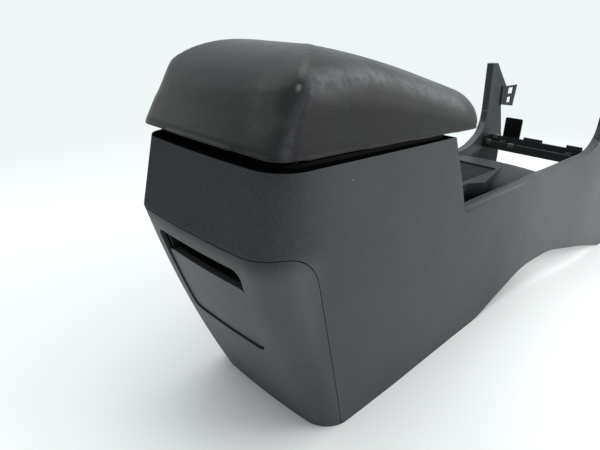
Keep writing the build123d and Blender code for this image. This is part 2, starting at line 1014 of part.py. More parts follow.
def crown_section(station, top):
    """An upright section with the rounded shoulders and the crown of the lid pad."""
    lean = (pad_half_low - pad_half_high) / (pad_high - pad_low)
    foot = pad_half_low + pad_margin + lean * (pad_low - bend_height)
    shoulder = pad_half_low + pad_margin + lean * (pad_low - top + pad_shoulder_drop)
    with BuildSketch(Plane(origin=(0, rim_zero + station, 0), x_dir=(1, 0, 0), z_dir=(0, -1, 0))) as section:
        with BuildLine():
            FilletPolyline(
                (foot, bend_height),
                (shoulder, top - pad_shoulder_drop),
                (0, top + pad_shoulder_drop),
                (-shoulder, top - pad_shoulder_drop),
                (-foot, bend_height),
                radius=[pad_shoulder_radius, 6 * pad_shoulder_radius, pad_shoulder_radius],
            )
            Line((-foot, bend_height), (foot, bend_height))
        make_face()
    return section.sketch


pad_lean = (pad_rear_high - pad_rear_low) / (pad_high - pad_low)
pad_rear_edge = pad_rear_low - pad_rear_bulge - pad_margin
with BuildSketch(side_plane) as pad_outline:
    with BuildLine():
        FilletPolyline(
            (pad_rear_edge - pad_lean * (pad_low - bend_height), bend_height),
            (pad_rear_edge + pad_lean * (pad_top - pad_low), pad_top),
            (pad_top_station, pad_top + pad_margin),
            (pad_crown_middle_station, pad_crown_middle + 2 * pad_margin),
            (pad_brow_station, pad_brow),
            (pad_front + pad_margin, pad_nose_height),
            (pad_foot_station, pad_foot_height),
            (pad_foot_station, bend_height),
            radius=[
                pad_roll_radius,
                pad_slope_radius,
                pad_roll_radius,
                pad_brow_radius,
                pad_nose_radius,
                pad_foot_radius,
            ],
        )
        Line(
            (pad_foot_station, bend_height),
            (pad_rear_edge - pad_lean * (pad_low - bend_height), bend_height),
        )
    make_face()
crown_sections = [
    crown_section(-3 * rear_reach, pad_crown_rear),
    crown_section(pad_crown_top_station, pad_crown_top),
    crown_section(pad_crown_middle_station, pad_crown_middle),
    crown_section(pad_crown_front_station, pad_crown_front),
]
hinge_recess = box_between(
    (-hinge_recess_half, hinge_recess_start, bend_height),
    (hinge_recess_half, hinge_recess_end, hinge_height + knuckle_radius + seat_gap),
)
latch_recess = box_between(
    (-latch_recess_half, latch_recess_start, bend_height),
    (latch_recess_half, latch_recess_end, latch_recess_top),
)


def base_form(gap):
    """The hard base of the lid without its recesses, grown by a gap."""
    with BuildPart() as form:
        with BuildSketch(lid_plane):
            with Locations((0, (lid_base_rear + lid_base_front) / 2)):
                RectangleRounded(
                    2 * (lid_base_half + gap), lid_base_front - lid_base_rear + 2 * gap, lid_base_radius + gap
                )
        extrude(amount=lid_base_wall + gap)
        reach_out = latch_block_wall + gap
        add(
            box_between(
                (
                    -latch_recess_half - reach_out,
                    latch_recess_start - reach_out,
                    lid_front_bottom + lid_base_wall / 2,
                ),
                (latch_recess_half + reach_out, latch_recess_end + reach_out, latch_recess_top + reach_out),
            )
        )
    return form.part


# Lid pad: the padded armrest, with leaning rear and sides, a crown and a blunt nose
with BuildPart() as crown_form:
    loft(sections=crown_sections)
with BuildPart() as pad_block:
    loft(
        sections=[
            pad_section(pad_low, pad_rear_low, pad_half_low),
            pad_section(pad_high, pad_rear_high, pad_half_high),
        ],
        ruled=True,
    )
with BuildPart() as lid_pad:
    add(common(pad_block.part, sketch_part(pad_outline.sketch, 2 * reach)))
    add(crown_form.part, mode=Mode.INTERSECT)
    with BuildSketch(lid_plane):
        Rectangle(2 * total_length, 2 * total_length)
    extrude(amount=-bend_height / 2, mode=Mode.SUBTRACT)
    add(base_form(lid_base_gap), mode=Mode.SUBTRACT)
    add(hinge_recess, mode=Mode.SUBTRACT)
lid_pad.part.label = "lid_pad"
export_step(lid_pad.part, "parts/lid_pad.step")

# Screws of the hinge leaf go up into the base, with their heads below
leaf_bottom = hinge_height + knuckle_radius - hinge_sheet
leaf_seats = [
    Plane(origin=(x, rim_zero + hinge_screw_station, leaf_bottom), x_dir=(1, 0, 0), z_dir=(0, 0, -1))
    for x in (-leaf_screw_offset, leaf_screw_offset)
]
latch_bore = rod(
    latch_pin_radius + pin_play, -latch_pin_half - pin_play, latch_pin_half + pin_play, latch_station,
    latch_height,
)

# Lid base: the hard underside of the lid, with a pocket for the hinge and one for the latch
with BuildPart() as lid_base:
    add(base_form(0))
    add(hinge_recess, mode=Mode.SUBTRACT)
    add(latch_recess, mode=Mode.SUBTRACT)
    add(latch_bore, mode=Mode.SUBTRACT)
    add(screw_holes(leaf_seats, leaf_screw_length + pin_play + hinge_sheet), mode=Mode.SUBTRACT)
lid_base.part.label = "lid_base"
export_step(lid_base.part, "parts/lid_base.step")

# Rubber buttons that the lid closes on
with BuildPart() as lid_bumpers:
    with BuildSketch(lip_plane.offset(lip_wall + lid_base_gap)):
        with Locations(
            (-bumper_offset, bumper_rear),
            (bumper_offset, bumper_rear),
            (-bumper_offset, bumper_front),
            (bumper_offset, bumper_front),
        ):
            Circle(bumper_radius)
    extrude(amount=lid_base_wall)
    with BuildSketch(lid_plane):
        Rectangle(2 * total_length, 2 * total_length)
    extrude(amount=2 * lid_base_wall, mode=Mode.SUBTRACT)
lid_bumpers.part.label = "lid_bumpers"
export_step(lid_bumpers.part, "parts/lid_bumpers.step")

# Hinge: a bracket on the bin, a leaf under the lid and the pin through both
hinge_bore = rod(hinge_pin_radius + pin_play, -hinge_half - 1, hinge_half + 1, hinge_station, hinge_height)
bracket_inner = hinge_inner_half + hinge_side_gap
with BuildPart() as hinge_bracket:
    for side in (-1, 1):
        ends = sorted((side * bracket_inner, side * hinge_half))
        add(rod(knuckle_radius, ends[0], ends[1], hinge_station, hinge_height))
        add(
            box_between(
                (ends[0], hinge_station, hinge_height - knuckle_radius),
                (ends[1], hinge_step_end, hinge_height - knuckle_radius + hinge_sheet),
            )
        )
        add(
            box_between(
                (ends[0], hinge_step, lip_top),
                (ends[1], hinge_step_end, hinge_height - knuckle_radius + hinge_sheet),
            )
        )
    with BuildSketch(lip_plane.offset(lip_wall)):
        with Locations((0, (hinge_step + hinge_foot_end) / 2)):
            Rectangle(2 * hinge_half, hinge_foot_end - hinge_step)
    extrude(amount=hinge_sheet)
    add(hinge_bore, mode=Mode.SUBTRACT)
    add(screw_holes(bracket_seats, screw_length), mode=Mode.SUBTRACT)
hinge_bracket.part.label = "hinge_bracket"
export_step(hinge_bracket.part, "parts/hinge_bracket.step")
with BuildPart() as hinge_leaf:
    add(rod(knuckle_radius, -hinge_inner_half, hinge_inner_half, hinge_station, hinge_height))
    add(
        box_between(
            (-hinge_inner_half, hinge_station, leaf_bottom),
            (hinge_inner_half, leaf_end, leaf_bottom + hinge_sheet),
        )
    )
    add(
        box_between((-leaf_half, hinge_neck, leaf_bottom), (leaf_half, leaf_end, leaf_bottom + hinge_sheet))
    )
    add(hinge_bore, mode=Mode.SUBTRACT)
    add(screw_holes(leaf_seats, leaf_screw_length), mode=Mode.SUBTRACT)
hinge_leaf.part.label = "hinge_leaf"
export_step(hinge_leaf.part, "parts/hinge_leaf.step")
with BuildPart() as hinge_pin:
    add(rod(hinge_pin_radius, -hinge_half - 1, hinge_half + 1, hinge_station, hinge_height))
hinge_pin.part.label = "hinge_pin"
export_step(hinge_pin.part, "parts/hinge_pin.step")
with BuildPart() as bracket_screws:
    for seat in bracket_seats:
        add(screw(seat, screw_length))
bracket_screws.part.label = "bracket_screws"
export_step(bracket_screws.part, "parts/bracket_screws.step")
with BuildPart() as leaf_screws:
    for seat in leaf_seats:
        add(screw(seat, leaf_screw_length))
leaf_screws.part.label = "leaf_screws"
export_step(leaf_screws.part, "parts/leaf_screws.step")

# Latch: a paddle under the nose of the lid with a hook, its pin, its spring and the striker
paddle_bottom = lid_front_bottom + 1.7
hook_front = latch_station - 0.5
with BuildPart() as latch_lever:
    add(rod(latch_barrel_radius, 1 - latch_recess_half, barrel_end, latch_station, latch_height))
    add(
        box_between(
            (-paddle_half, latch_station, paddle_bottom),
            (paddle_half, paddle_end, paddle_bottom + paddle_wall),
        )
    )
    add(
        box_between(
            (-hook_half, hook_front - hook_wall, latch_height - hook_drop),
            (hook_half, hook_front, latch_height),
        )
    )
    add(
        box_between(
            (-hook_half, hook_front - hook_wall - barb_reach, latch_height - hook_drop),
            (hook_half, hook_front, latch_height - hook_drop + barb_height),
        )
    )
    add(
        box_between(
            (barrel_end, latch_station - 1, bend_height),
            (latch_recess_half, latch_station + latch_barrel_radius, crown_height),
        ),
        mode=Mode.SUBTRACT,
    )
    add(latch_bore, mode=Mode.SUBTRACT)
latch_lever.part.label = "latch_lever"
export_step(latch_lever.part, "parts/latch_lever.step")
with BuildPart() as latch_pin:
    add(rod(latch_pin_radius, -latch_pin_half, latch_pin_half, latch_station, latch_height))
latch_pin.part.label = "latch_pin"
export_step(latch_pin.part, "parts/latch_pin.step")
coil_axis = Plane(
    origin=(spring_left, rim_zero + latch_station, latch_height), x_dir=(0, 0, 1), z_dir=(1, 0, 0)
)
coil_path = coil_axis.location * Helix(spring_pitch, spring_pitch * spring_turns, spring_coil_radius)
with BuildPart() as latch_spring:
    with BuildSketch(Plane(origin=coil_path @ 0, z_dir=coil_path % 0)):
        Circle(spring_wire)
    sweep(path=coil_path, is_frenet=True)
    for end, way in ((0, -1), (1, 1)):
        with BuildSketch(Plane(origin=coil_path @ end, z_dir=way * (coil_path % end))):
            Circle(spring_wire)
        extrude(amount=spring_leg)
latch_spring.part.label = "latch_spring"
export_step(latch_spring.part, "parts/latch_spring.step")
with BuildPart() as latch_striker:
    with BuildSketch(lip_plane.offset(lip_wall)):
        with Locations((0, (striker_start + striker_end) / 2)):
            Rectangle(2 * striker_half, striker_end - striker_start)
        with Locations((0, (slot_start + slot_end) / 2)):
            Rectangle(2 * slot_half, slot_end - slot_start, mode=Mode.SUBTRACT)
    extrude(amount=striker_wall)
    add(screw_holes(striker_seats, screw_length), mode=Mode.SUBTRACT)
latch_striker.part.label = "latch_striker"
export_step(latch_striker.part, "parts/latch_striker.step")
with BuildPart() as striker_screws:
    for seat in striker_seats:
        add(screw(seat, screw_length))
striker_screws.part.label = "striker_screws"
export_step(striker_screws.part, "parts/striker_screws.step")

# Deck: tray on the left, well and ramp on the right, with a raised border
deck_start = tray_start + seam
with BuildPart() as deck_plan:
    with BuildSketch(plan_plane(0)):
        with BuildLine():
            Polyline(
                (-deck_front_half, deck_front_side),
                (-reach, deck_front_side),
                (-reach, deck_start),
                (reach, deck_start),
                (reach, deck_front_side),
                (deck_front_half, deck_front_side),
            )
            ThreePointArc(
                (deck_front_half, deck_front_side), (0, deck_front), (-deck_front_half, deck_front_side)
            )
        make_face()
    extrude(amount=crown_height)


def well_form(grow, top):
    """The space of the well and ramp, grown downward and sideways by a wall."""
    with BuildPart() as form:
        with BuildSketch(plan_plane(0)) as plan:
            with BuildLine():
                Polyline(
                    (well_left, deck_start + well_wall),
                    (well_right, deck_start + well_wall),
                    (well_right, ridge_head_station),
                    (ridge_head, ridge_head_station),
                    (ridge_foot, ridge_foot_station),
                    (well_left, ramp_foot),
                    close=True,
                )
            make_face()
            if grow:
                offset(amount=grow, kind=Kind.INTERSECTION, mode=Mode.REPLACE)
        extrude(amount=crown_height)
        with BuildSketch(side_plane):
            with BuildLine():
                FilletPolyline(
                    (0, well_floor - grow),
                    (well_end + grow, well_floor - grow),
                    (ramp_foot + grow, ramp_foot_height - grow),
                    (ramp_middle, ramp_middle_height - grow),
                    (ramp_end, deck_top - grow),
                    (front_station, deck_top - grow),
                    radius=[4.0, ramp_foot_radius, ramp_middle_radius, ramp_middle_radius],
                )
                Polyline(
                    (front_station, deck_top - grow),
                    (front_station, top),
                    (0, top),
                    (0, well_floor - grow),
                )
            make_face()
        extrude(amount=2 * reach, mode=Mode.INTERSECT)
    return form.part


tray_width = tray_right - tray_left
tray_rear = deck_start + tray_border
with BuildPart() as deck_panel:
    add(hull(flange + seam))
    add(deck_plan.part, mode=Mode.INTERSECT)
    add(
        box_between((-reach, 0, deck_top - deck_wall), (reach, front_station, deck_top + border_height)),
        mode=Mode.INTERSECT,
    )
    inner_field = common(
        hull(flange + seam + border_width),
        box_between(
            (-reach, deck_start + border_width, deck_top),
            (reach, deck_front_side - border_width, crown_height),
        ),
    )
    add(inner_field, mode=Mode.SUBTRACT)
    add(
        box_between(
            (-reach, deck_front_side - 2 * border_width, deck_top), (reach, front_station, crown_height)
        ),
        mode=Mode.SUBTRACT,
    )
    add(
        box_between(
            (tray_left - well_wall, tray_rear - well_wall, deck_top - tray_depth - tray_floor_wall),
            (tray_right + well_wall, tray_end + well_wall, deck_top - deck_wall / 2),
        )
    )
    add(well_form(well_wall, deck_top - deck_wall / 2))
    add(well_form(0, crown_height), mode=Mode.SUBTRACT)
    with BuildSketch(plan_plane(deck_top - tray_depth)):
        with Locations(((tray_left + tray_right) / 2, (tray_rear + tray_end) / 2)):
            RectangleRounded(tray_width, tray_end - tray_rear, tray_radius)
    extrude(amount=crown_height, mode=Mode.SUBTRACT)
deck_panel.part.label = "deck_panel"
export_step(deck_panel.part, "parts/deck_panel.step")
with BuildPart() as tray_mat:
    with BuildSketch(plan_plane(deck_top - tray_depth)):
        with Locations(((tray_left + tray_right) / 2, (tray_rear + tray_end) / 2)):
            RectangleRounded(tray_width - 2 * seam, tray_end - tray_rear - 2 * seam, tray_radius - seam)
    extrude(amount=tray_mat_wall)
tray_mat.part.label = "tray_mat"
export_step(tray_mat.part, "parts/tray_mat.step")

# Crossbar: a ribbed channel between the horns, screwed to their inner walls
bar_front = bar_rear + bar_depth
bar_top = bar_bottom + bar_height
with BuildPart() as bar_channel:
    add(box_between((-reach, bar_rear, bar_bottom), (reach, bar_front, bar_top)))
    add(
        box_between(
            (-bar_end_half, bar_rear + bar_wall, bar_bottom + bar_wall),
            (bar_end_half, bar_front - bar_wall, crown_height),
        ),
        mode=Mode.SUBTRACT,
    )
    add(
        box_between(
            (-bar_end_half, bar_rear - 1, bar_bottom + bar_rear_height),
            (bar_end_half, bar_rear + bar_wall, crown_height),
        ),
        mode=Mode.SUBTRACT,
    )
    for index in range(bar_rib_count):
        x = (index - (bar_rib_count - 1) / 2) * bar_rib_pitch
        add(
            box_between(
                (x - bar_rib_wall / 2, bar_rear + bar_wall / 2, bar_bottom + bar_wall / 2),
                (x + bar_rib_wall / 2, bar_front - bar_wall / 2, bar_bottom + bar_rib_height),
            )
        )
    with BuildSketch(plan_plane(bar_bottom)):
        with Locations((-bar_boss_offset, bar_middle), (bar_boss_offset, bar_middle)):
            Circle(bar_boss_radius)
    extrude(amount=bar_boss_height)
    for left, length in ((bar_tab_left, bar_tab_length), (bar_tab_right, bar_tab_short)):
        add(
            box_between(
                (left, bar_front - bar_tab_wall, bar_top - 1),
                (left + length, bar_front, bar_top + bar_tab_height),
            )
        )
    with BuildSketch(plan_plane(bar_bottom)):
        with Locations((-bar_boss_offset, bar_middle), (bar_boss_offset, bar_middle)):
            Circle(bar_hole_radius)
    extrude(amount=crown_height, both=True, mode=Mode.SUBTRACT)
with BuildPart() as crossbar:
    add(hull(flange + seat_gap))
    add(bar_channel.part, mode=Mode.INTERSECT)
    add(screw_holes(bar_seats, screw_length), mode=Mode.SUBTRACT)
crossbar.part.label = "crossbar"
export_step(crossbar.part, "parts/crossbar.step")
with BuildPart() as crossbar_screws:
    for seat in bar_seats:
        add(screw(seat, screw_length))
crossbar_screws.part.label = "crossbar_screws"
export_step(crossbar_screws.part, "parts/crossbar_screws.step")
with BuildPart() as upright_plate:
    add(
        box_between(
            (plate_left, bar_front, plate_bottom), (plate_right, bar_front + plate_wall, plate_top)
        )
    )
    fillet(upright_plate.edges().filter_by(Axis.Y), plate_radius)
upright_plate.part.label = "upright_plate"
export_step(upright_plate.part, "parts/upright_plate.step")


def edge_clip(x, station, top):
    """A folded clip over the edge of a wall that starts at a station."""
    outer = box_between(
        (x - clip_width / 2, station - clip_play - clip_sheet, top - clip_leg),
        (x + clip_width / 2, station + bar_wall + clip_play + clip_sheet, top + clip_play + clip_sheet),
    )
    inner = box_between(
        (x - clip_width, station - clip_play, top - 2 * clip_leg),
        (x + clip_width, station + bar_wall + clip_play, top + clip_play),
    )
    return outer - inner


with BuildPart() as edge_clips:
    add(edge_clip(clip_left, bar_rear, bar_bottom + bar_rear_height))
    add(edge_clip(clip_middle, bar_rear, bar_bottom + bar_rear_height))
    add(edge_clip(clip_front, bar_front - bar_wall, bar_top))
edge_clips.part.label = "edge_clips"
export_step(edge_clips.part, "parts/edge_clips.step")

# Clip brackets on the inner walls of the horns
with BuildPart() as bracket_pair:
    add(hull(flange + seat_gap))
    add(hull(flange + seat_gap + bracket_wall), mode=Mode.SUBTRACT)
    with BuildSketch(side_plane):
        with BuildLine():
            Polyline(
                (bracket_root, bracket_top),
                (bracket_tip, bracket_top),
                (bracket_tip_bottom, bracket_bottom),
                (bracket_root, bracket_root_bottom),
                close=True,
            )
        make_face()
        with Locations(
            (
                bracket_hole_station + bracket_hole_length / 2,
                bracket_hole_bottom + bracket_hole_height / 2,
            )
        ):
            Rectangle(bracket_hole_length, bracket_hole_height, mode=Mode.SUBTRACT)
        with Locations(
            (
                bracket_hole_station + bracket_slot_length / 2,
                bracket_slot_bottom + bracket_slot_height / 2,
            )
        ):
            Rectangle(bracket_slot_length, bracket_slot_height, mode=Mode.SUBTRACT)
    extrude(amount=2 * reach, mode=Mode.INTERSECT)
with BuildPart() as horn_bracket_left:
    add(bracket_pair.part)
    add(box_between((-reach, 0, 0), (0, front_station, crown_height)), mode=Mode.INTERSECT)
horn_bracket_left.part.label = "horn_bracket_left"
export_step(horn_bracket_left.part, "parts/horn_bracket_left.step")
with BuildPart() as horn_bracket_right:
    add(bracket_pair.part)
    add(box_between((0, 0, 0), (reach, front_station, crown_height)), mode=Mode.INTERSECT)
horn_bracket_right.part.label = "horn_bracket_right"
export_step(horn_bracket_right.part, "parts/horn_bracket_right.step")
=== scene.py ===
import json
import math

import bpy
import numpy as np
from mathutils import Matrix, Vector


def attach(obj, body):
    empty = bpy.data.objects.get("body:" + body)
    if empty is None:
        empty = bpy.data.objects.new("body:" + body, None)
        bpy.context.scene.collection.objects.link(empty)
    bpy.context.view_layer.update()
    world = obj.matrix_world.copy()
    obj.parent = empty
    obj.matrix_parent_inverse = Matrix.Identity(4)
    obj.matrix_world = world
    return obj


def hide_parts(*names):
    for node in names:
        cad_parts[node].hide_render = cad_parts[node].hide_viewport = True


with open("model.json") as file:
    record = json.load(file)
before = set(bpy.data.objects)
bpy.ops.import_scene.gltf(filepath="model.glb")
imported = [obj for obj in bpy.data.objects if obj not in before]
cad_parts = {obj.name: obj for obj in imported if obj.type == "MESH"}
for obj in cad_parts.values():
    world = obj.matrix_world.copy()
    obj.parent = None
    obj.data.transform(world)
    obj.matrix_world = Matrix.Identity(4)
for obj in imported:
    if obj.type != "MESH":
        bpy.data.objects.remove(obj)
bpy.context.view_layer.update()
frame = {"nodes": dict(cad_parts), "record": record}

BACK_TONE = (0.86, 0.925, 0.925)
GREY = (0.043, 0.047, 0.050)

# Camera: place in metres, angles in degrees, focal length in pixels of a picture this wide
CAMERA_PLACE = (0.3593, -0.6697, 0.4086)
CAMERA_ANGLES = (44.77, 22.31, 1.92)
CAMERA_FOCAL = 507.1
PICTURE_WIDTH = 600.0
SENSOR_WIDTH = 36.0

# Armrest cover, in metres
VOXEL = 0.0022
SMOOTH_PASSES = 6
LAST_FRAME = 20
SWELL_CAP = 0.0016
LID_LINE = 0.3088  # height of the lid's lower plane at the rear
LID_FALL = 0.0299  # how much it falls per metre forward
HELD_RIM = 0.004
FREE_OVER = 0.03
FOLD_LINE_HEIGHT_MM = 4.6
FOLD_LINE_WIDTH_MM = 1.5
FOLD_LINE_DEPTH = 0.0007

FLOOR_HALF = 9


def station(y):
    """World Y in metres of a station in millimetres from the rear edge of the box rim."""
    return (y - 431.0) / 1000.0


# Camera at the photograph's viewing angle
def place_camera():
    azimuth, elevation, roll = (math.radians(v) for v in CAMERA_ANGLES)
    back = Vector((
        math.sin(azimuth) * math.cos(elevation),
        -math.cos(azimuth) * math.cos(elevation),
        math.sin(elevation),
    ))
    level = Vector((math.cos(azimuth), math.sin(azimuth), 0.0))
    upright = back.cross(level)
    right = level * math.cos(roll) + upright * math.sin(roll)
    up = -level * math.sin(roll) + upright * math.cos(roll)
    data = bpy.data.cameras.new("view_camera")
    data.sensor_width = SENSOR_WIDTH
    data.lens = SENSOR_WIDTH * CAMERA_FOCAL / PICTURE_WIDTH
    data.clip_start = 0.01
    camera = bpy.data.objects.new("view_camera", data)
    turn = Matrix((right, up, back)).transposed()
    camera.matrix_world = Matrix.Translation(CAMERA_PLACE) @ turn.to_4x4()
    bpy.context.scene.collection.objects.link(camera)
    bpy.context.scene.camera = camera


place_camera()


class Graph:
    """A small helper that adds nodes and links them."""

    def __init__(self, name):
        self.material = bpy.data.materials.new(name)
        self.material.use_nodes = True
        self.tree = self.material.node_tree
        self.shader = self.tree.nodes["Principled BSDF"]
        self.out = self.tree.nodes["Material Output"]
        self.place = self.add("ShaderNodeTexCoord").outputs["Object"]

    def add(self, kind, inputs=None, **settings):
        node = self.tree.nodes.new(kind)
        for key, value in settings.items():
            setattr(node, key, value)
        for key, value in (inputs or {}).items():
            socket = node.inputs[key]
            if isinstance(value, bpy.types.NodeSocket):
                self.tree.links.new(value, socket)
            else:
                socket.default_value = value
        return node

    def link(self, value, socket):
        self.tree.links.new(value, socket)

    def noise(self, scale, detail=3.0, rough=0.55, place=None):
        node = self.add(
            "ShaderNodeTexNoise",
            {"Vector": place or self.place, "Scale": scale, "Detail": detail, "Roughness": rough},
        )
        return node.outputs["Fac"]

    def cells(self, scale, place=None):
        node = self.add(
            "ShaderNodeTexVoronoi",
            {"Vector": place or self.place, "Scale": scale},
            feature="SMOOTH_F1",
        )
        return node.outputs["Distance"]

    def spread(self, value, low, high, to_low=0.0, to_high=1.0):
        node = self.add(
            "ShaderNodeMapRange",
            {"Value": value, "From Min": low, "From Max": high, "To Min": to_low, "To Max": to_high},
            interpolation_type="SMOOTHSTEP",
        )
        return node.outputs["Result"]

    def math(self, kind, a, b=0.0):
        return self.add("ShaderNodeMath", {0: a, 1: b}, operation=kind).outputs[0]

    def blend(self, factor, a, b):
        node = self.add("ShaderNodeMix", data_type="RGBA", blend_type="MIX")
        for key, value in (("Factor", factor), ("A", a), ("B", b)):
            socket = next(s for s in node.inputs if s.name == key and s.enabled)
            if isinstance(value, bpy.types.NodeSocket):
                self.tree.links.new(value, socket)
            elif key == "Factor":
                socket.default_value = value
            else:
                socket.default_value = tuple(value) + (1.0,)
        return next(s for s in node.outputs if s.enabled)

    def axis(self, index):
        return self.add("ShaderNodeSeparateXYZ", {"Vector": self.place}).outputs[index]

    def edges(self, radius):
        """How far the surface turns within a small radius: 0 on a flat, up to 1 on an edge."""
        bevel = self.add("ShaderNodeBevel", {"Radius": radius}, samples=4)
        normal = self.add("ShaderNodeNewGeometry").outputs["Normal"]
        dot = self.vector("DOT_PRODUCT", bevel.outputs[0], normal)
        return self.spread(dot.outputs["Value"], 0.995, 0.86), bevel.outputs[0]

    def bump(self, height, strength, distance, normal=None):
        inputs = {"Height": height, "Strength": strength, "Distance": distance}
        if normal is not None:
            inputs["Normal"] = normal
        node = self.add("ShaderNodeBump", inputs)
        self.link(node.outputs["Normal"], self.shader.inputs["Normal"])

    def vector(self, kind, a, b):
        return self.add("ShaderNodeVectorMath", {0: a, 1: b}, operation=kind)

    def normal(self, index):
        """One part of the surface's own normal."""
        normal = self.add("ShaderNodeNewGeometry").outputs["Normal"]
        return self.add("ShaderNodeSeparateXYZ", {"Vector": normal}).outputs[index]


def scaled(colour, factor, lift=0.0):
    return tuple(min(1.0, v * factor + lift) for v in colour)


def near_line(g, points, width):
    """1 on a broken line of points (mm across, station and height), fading to 0 at a width in mm."""
    mask = None
    for first, last in zip(points, points[1:]):
        first = (first[0] / 1000.0, station(first[1]), first[2] / 1000.0)
        last = (last[0] / 1000.0, station(last[1]), last[2] / 1000.0)
        reach = tuple(b - a for a, b in zip(first, last))
        square = sum(v * v for v in reach)
        apart = g.vector("SUBTRACT", g.place, first).outputs[0]
        part = g.vector("DOT_PRODUCT", apart, reach).outputs["Value"]
        part = g.add("ShaderNodeClamp", {"Value": g.math("DIVIDE", part, square)}).outputs[0]
        foot = g.add("ShaderNodeVectorMath", {0: reach, "Scale": part}, operation="SCALE")
        away = g.vector("DISTANCE", apart, foot.outputs[0]).outputs["Value"]
        this = g.spread(away, width / 1000.0, 0.0)
        mask = this if mask is None else g.math("MAXIMUM", mask, this)
    return mask


def moulded(name, base, rough, grain=1250.0, depth=0.00006, wear_and_highlight_strength=0.25, edge=0.0012,
            marks=(), shade=None, gloss=1.0):
    """Fine-grained moulded plastic: a pebbled skin, uneven sheen, paler edges (wear and painted highlight).

    Each mark (centre, size, strength) in metres is a paler spot: rubbed spots, and a painted highlight
    along the low rim. shade is a function of the graph that says where shade is painted and how dark.
    gloss scales the sheen of all but the rear."""
    g = Graph(name)
    cloud = g.noise(7.0, 4.0)
    speck = g.noise(420.0, 2.0)
    tone = g.blend(g.spread(cloud, 0.3, 0.7), scaled(base, 0.93), scaled(base, 1.07))
    tone = g.blend(g.spread(speck, 0.35, 0.7, 0.0, 0.5), tone, scaled(base, 1.4))
    edge_mask, soft_normal = g.edges(edge)
    # Paler edges: partly wear, partly a painted highlight along the edges
    edge_wear_and_highlight = g.math("MULTIPLY", edge_mask, g.spread(g.noise(38.0, 4.0), 0.35, 0.7, 0.25, 1.0))
    tone = g.blend(g.math("MULTIPLY", edge_wear_and_highlight, wear_and_highlight_strength), tone, scaled(base, 3.2, 0.02))
    stretched = g.add("ShaderNodeMapping", {"Vector": g.place, "Scale": (35.0, 8.0, 60.0)}).outputs[0]
    rub = g.spread(g.noise(1.0, 5.0, 0.7, stretched), 0.68, 0.82, 0.0, 0.12)
    tone = g.blend(rub, tone, scaled(base, 1.5, 0.004))
    # Paler spots: rubbed spots, and the painted highlight along the low rim
    for centre, size, strength in marks:
        near = g.vector("SUBTRACT", g.place, centre).outputs[0]
        near = g.vector("DIVIDE", near, size).outputs[0]
        far = g.add("ShaderNodeVectorMath", {0: near}, operation="LENGTH").outputs["Value"]
        ragged = g.math("ADD", far, g.math("MULTIPLY", g.noise(900.0, 3.0), 0.7))
        tone = g.blend(g.spread(ragged, 1.5, 0.7, 0.0, strength), tone, (0.22, 0.23, 0.24))
    # Painted shade: the tone is darkened where shade says
    if shade:
        tone = g.blend(shade(g), tone, scaled(base, 0.12))
    g.link(tone, g.shader.inputs["Base Color"])
    uneven = g.spread(g.noise(22.0, 5.0, 0.6), 0.3, 0.75, rough - 0.02, rough + 0.03)
    g.link(uneven, g.shader.inputs["Roughness"])
    # Sheen: dull on the upper rear, fuller on the lower rear and towards the front
    behind = g.spread(g.axis(1), station(70.0), station(5.0))
    rear_sheen = g.spread(g.axis(2), 0.205, 0.236, 0.5, 0.0)
    outward = g.math("GREATER_THAN", g.math("MULTIPLY", g.normal(0), g.axis(0)), 0.0)
    outward = g.math("MAXIMUM", outward, g.math("GREATER_THAN", g.normal(2), 0.8))
    forward = g.spread(g.axis(1), station(430.0), station(680.0), 0.0, 0.44)
    side_sheen = g.math("MULTIPLY", forward, outward)
    side_sheen = g.math("ADD", side_sheen, g.spread(outward, 0.0, 1.0, 0.05, 0.16))
    side_sheen = g.math("MULTIPLY", side_sheen, gloss)
    sheen = g.math("ADD", g.math("MULTIPLY", behind, rear_sheen),
                   g.math("MULTIPLY", g.math("SUBTRACT", 1.0, behind), side_sheen))
    # Less sheen where shade is painted
    if shade:
        sheen = g.math("MULTIPLY", sheen, g.math("SUBTRACT", 1.0, shade(g)))
    g.link(sheen, g.shader.inputs["Specular IOR Level"])
    pebble = g.cells(grain)
    fine = g.noise(grain * 1.7, 2.0)
    height = g.math("ADD", pebble, g.math("MULTIPLY", fine, 0.4))
    g.bump(height, 0.55, depth, soft_normal)
    return g.material


# Painted highlights on the cover: lines of points (mm across, station and height), width in mm, strength,
# colour
vinyl_painted_highlights = (
    (((98.3, 7.7, 314.3), (96.7, 12.8, 325.8), (95.1, 23.7, 346.0), (95.1, 31.4, 356.1),
      (90.1, 46.6, 365.3)),
     9.0, 0.7, (0.068, 0.070, 0.082)),
    (((90.1, 46.6, 365.3), (84.5, 116.3, 364.9), (87.8, 209.0, 344.6), (90.0, 268.0, 329.0)),
     17.0, 0.85, (0.15, 0.15, 0.153)),
    (((58.1, 19.0, 357.8), (70.0, 8.9, 336.5)), 24.0, 0.65, (0.062, 0.059, 0.055)),
    (((90.6, 25.0, 359.5), (88.9, 28.0, 361.5)), 3.2, 0.8, (0.26, 0.26, 0.26)),
)


